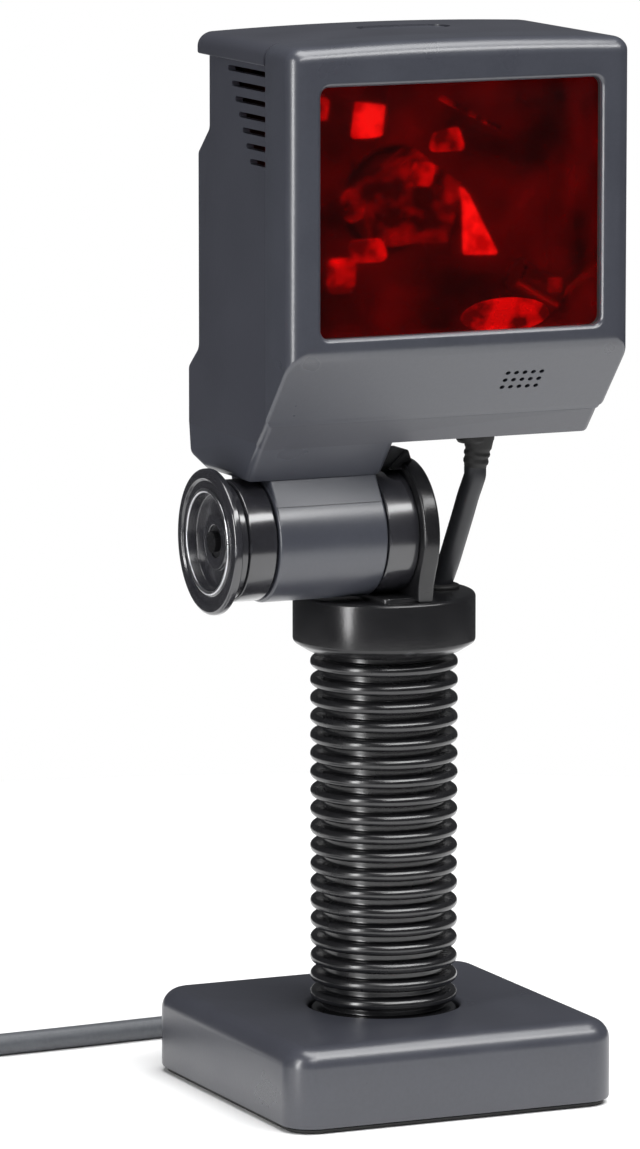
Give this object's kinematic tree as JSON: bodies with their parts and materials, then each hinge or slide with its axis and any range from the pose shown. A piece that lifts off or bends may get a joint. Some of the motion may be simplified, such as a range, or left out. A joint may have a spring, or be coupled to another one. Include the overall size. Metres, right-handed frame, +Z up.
{
  "type": "presentation barcode scanner",
  "caption": "Hands-free presentation barcode scanner: square red-window head tilting on a flexible ribbed pole in a weighted square foot, with its cord.",
  "frame": {"origin": "centre of the foot's underside, on the surface it stands on", "axes": "+Z up along the pole, -Y the way the window faces, +X to the window's right as seen from in front"},
  "size_m": [0.2597, 0.1416, 0.3045],
  "materials": {
    "shell_grey": "satin moulded",
    "pole_black": "gloss",
    "gloss_black": "gloss",
    "satin_black": "satin",
    "rubber_black": "matte",
    "cord_jacket": "satin",
    "steel": "bright",
    "weight_steel": "rough",
    "brass": "turned",
    "red_window": "polished",
    "mirror": "polished",
    "circuit_board": "solder mask",
    "chassis_black": "matte"
  },
  "bodies": {
    "base": {"base_cover": "shell_grey", "base_weight": "weight_steel", "base_pad": "rubber_black", "base_screws": "steel", "pole_socket": "pole_black", "cord_gland": "rubber_black", "cord_inner": "cord_jacket", "gooseneck_core": "steel", "cord_lower": "cord_jacket", "cord_coil": "cord_jacket", "cord_tie": "rubber_black", "connector_boot": "rubber_black", "connector_body": "satin_black"},
    "link_01": {"flex_ring_01": "pole_black"},
    "link_02": {"flex_ring_02": "pole_black"},
    "link_03": {"flex_ring_03": "pole_black"},
    "link_04": {"flex_ring_04": "pole_black"},
    "link_05": {"flex_ring_05": "pole_black"},
    "link_06": {"flex_ring_06": "pole_black"},
    "link_07": {"flex_ring_07": "pole_black"},
    "link_08": {"flex_ring_08": "pole_black"},
    "link_09": {"flex_ring_09": "pole_black"},
    "link_10": {"flex_ring_10": "pole_black"},
    "link_11": {"flex_ring_11": "pole_black"},
    "link_12": {"flex_ring_12": "pole_black"},
    "link_13": {"flex_ring_13": "pole_black"},
    "link_14": {"flex_ring_14": "pole_black"},
    "link_15": {"flex_ring_15": "pole_black"},
    "link_16": {"flex_ring_16": "pole_black"},
    "link_17": {"flex_ring_17": "pole_black"},
    "link_18": {"flex_ring_18": "pole_black"},
    "link_19": {"flex_ring_19": "pole_black"},
    "collar": {"collar": "satin_black", "pivot_arm": "gloss_black", "arm_screws": "steel", "pivot_bolt": "steel", "pivot_spacer": "gloss_black", "pivot_bush": "gloss_black", "friction_washers": "steel", "cord_grommet": "rubber_black", "cord_upper": "cord_jacket"},
    "knob": {"clamp_knob": "gloss_black", "knob_insert": "brass"},
    "head": {"front_cover": "shell_grey", "rear_cover": "shell_grey", "neck_barrel": "shell_grey", "window": "red_window", "window_gasket": "rubber_black", "sound_grille": "chassis_black", "cover_screws": "steel", "optics_chassis": "chassis_black", "fixed_mirrors": "mirror", "collector_mirror": "mirror", "laser_module": "brass", "mirror_motor": "steel", "main_board": "circuit_board", "beeper": "chassis_black", "cord_boot": "rubber_black"},
    "spinner": {"polygon_mirror": "mirror"},
    "button": {"mode_button": "shell_grey"}
  },
  "joints": [
    {"name": "pole_bend", "type": "hinge", "parent": "base", "child": "link_01", "pos_m": [0, 0, 0.02493], "axis": [1, 0, 0], "range_deg": [-4, 4], "deforming": ["gooseneck_core", "cord_inner"]},
    {"name": "pole_lean", "type": "hinge", "parent": "link_01", "child": "link_02", "pos_m": [0, 0, 0.03027], "axis": [0, 1, 0], "range_deg": [-4, 4], "deforming": ["gooseneck_core", "cord_inner"]},
    {"name": "pole_bend_02", "type": "hinge", "parent": "link_02", "child": "link_03", "pos_m": [0, 0, 0.0356], "axis": [1, 0, 0], "range_deg": [-4, 4]},
    {"name": "pole_lean_02", "type": "hinge", "parent": "link_03", "child": "link_04", "pos_m": [0, 0, 0.04093], "axis": [0, 1, 0], "range_deg": [-4, 4]},
    {"name": "pole_bend_03", "type": "hinge", "parent": "link_04", "child": "link_05", "pos_m": [0, 0, 0.04625], "axis": [1, 0, 0], "range_deg": [-4, 4]},
    {"name": "pole_lean_03", "type": "hinge", "parent": "link_05", "child": "link_06", "pos_m": [0, 0, 0.05158], "axis": [0, 1, 0], "range_deg": [-4, 4]},
    {"name": "pole_bend_04", "type": "hinge", "parent": "link_06", "child": "link_07", "pos_m": [0, 0, 0.05692], "axis": [1, 0, 0], "range_deg": [-4, 4]},
    {"name": "pole_lean_04", "type": "hinge", "parent": "link_07", "child": "link_08", "pos_m": [0, 0, 0.06225], "axis": [0, 1, 0], "range_deg": [-4, 4]},
    {"name": "pole_bend_05", "type": "hinge", "parent": "link_08", "child": "link_09", "pos_m": [0, 0, 0.06757], "axis": [1, 0, 0], "range_deg": [-4, 4]},
    {"name": "pole_lean_05", "type": "hinge", "parent": "link_09", "child": "link_10", "pos_m": [0, 0, 0.0729], "axis": [0, 1, 0], "range_deg": [-4, 4]},
    {"name": "pole_bend_06", "type": "hinge", "parent": "link_10", "child": "link_11", "pos_m": [0, 0, 0.07823], "axis": [1, 0, 0], "range_deg": [-4, 4]},
    {"name": "pole_lean_06", "type": "hinge", "parent": "link_11", "child": "link_12", "pos_m": [0, 0, 0.08357], "axis": [0, 1, 0], "range_deg": [-4, 4]},
    {"name": "pole_bend_07", "type": "hinge", "parent": "link_12", "child": "link_13", "pos_m": [0, 0, 0.0889], "axis": [1, 0, 0], "range_deg": [-4, 4]},
    {"name": "pole_lean_07", "type": "hinge", "parent": "link_13", "child": "link_14", "pos_m": [0, 0, 0.09423], "axis": [0, 1, 0], "range_deg": [-4, 4]},
    {"name": "pole_bend_08", "type": "hinge", "parent": "link_14", "child": "link_15", "pos_m": [0, 0, 0.09956], "axis": [1, 0, 0], "range_deg": [-4, 4]},
    {"name": "pole_lean_08", "type": "hinge", "parent": "link_15", "child": "link_16", "pos_m": [0, 0, 0.10489], "axis": [0, 1, 0], "range_deg": [-4, 4]},
    {"name": "pole_bend_09", "type": "hinge", "parent": "link_16", "child": "link_17", "pos_m": [0, 0, 0.11021], "axis": [1, 0, 0], "range_deg": [-4, 4]},
    {"name": "pole_lean_09", "type": "hinge", "parent": "link_17", "child": "link_18", "pos_m": [0, 0, 0.11554], "axis": [0, 1, 0], "range_deg": [-4, 4]},
    {"name": "pole_bend_10", "type": "hinge", "parent": "link_18", "child": "link_19", "pos_m": [0, 0, 0.12087], "axis": [1, 0, 0], "range_deg": [-4, 4]},
    {"name": "pole_lean_10", "type": "hinge", "parent": "link_19", "child": "collar", "pos_m": [0, 0, 0.12621], "axis": [0, 1, 0], "range_deg": [-4, 4]},
    {"name": "head_tilt", "type": "hinge", "parent": "collar", "child": "head", "pos_m": [0, -0.008, 0.1623], "axis": [1, 0, 0], "range_deg": [-30, 40], "deforming": ["cord_upper"]},
    {"name": "clamp_knob_turn", "type": "hinge", "parent": "collar", "child": "knob", "pos_m": [-0.055, -0.008, 0.1623], "axis": [1, 0, 0], "range_deg": [0, 270]},
    {"name": "mode_button_press", "type": "slide", "parent": "head", "child": "button", "axis": [0, 0, -1], "range_m": [0, 0.0012], "stiffness_N_per_m": 400},
    {"name": "mirror_spin", "type": "hinge", "parent": "head", "child": "spinner", "pos_m": [0, -0.02, 0.257], "axis": [0, 1, 0], "continuous": true}
  ],
  "couplings": [
    {"joint": "pole_bend_02", "follows": "pole_bend", "ratio": 1},
    {"joint": "pole_lean_02", "follows": "pole_lean", "ratio": 1},
    {"joint": "pole_bend_03", "follows": "pole_bend", "ratio": 1},
    {"joint": "pole_lean_03", "follows": "pole_lean", "ratio": 1},
    {"joint": "pole_bend_04", "follows": "pole_bend", "ratio": 1},
    {"joint": "pole_lean_04", "follows": "pole_lean", "ratio": 1},
    {"joint": "pole_bend_05", "follows": "pole_bend", "ratio": 1},
    {"joint": "pole_lean_05", "follows": "pole_lean", "ratio": 1},
    {"joint": "pole_bend_06", "follows": "pole_bend", "ratio": 1},
    {"joint": "pole_lean_06", "follows": "pole_lean", "ratio": 1},
    {"joint": "pole_bend_07", "follows": "pole_bend", "ratio": 1},
    {"joint": "pole_lean_07", "follows": "pole_lean", "ratio": 1},
    {"joint": "pole_bend_08", "follows": "pole_bend", "ratio": 1},
    {"joint": "pole_lean_08", "follows": "pole_lean", "ratio": 1},
    {"joint": "pole_bend_09", "follows": "pole_bend", "ratio": 1},
    {"joint": "pole_lean_09", "follows": "pole_lean", "ratio": 1},
    {"joint": "pole_bend_10", "follows": "pole_bend", "ratio": 1},
    {"joint": "pole_lean_10", "follows": "pole_lean", "ratio": 1}
  ]
}
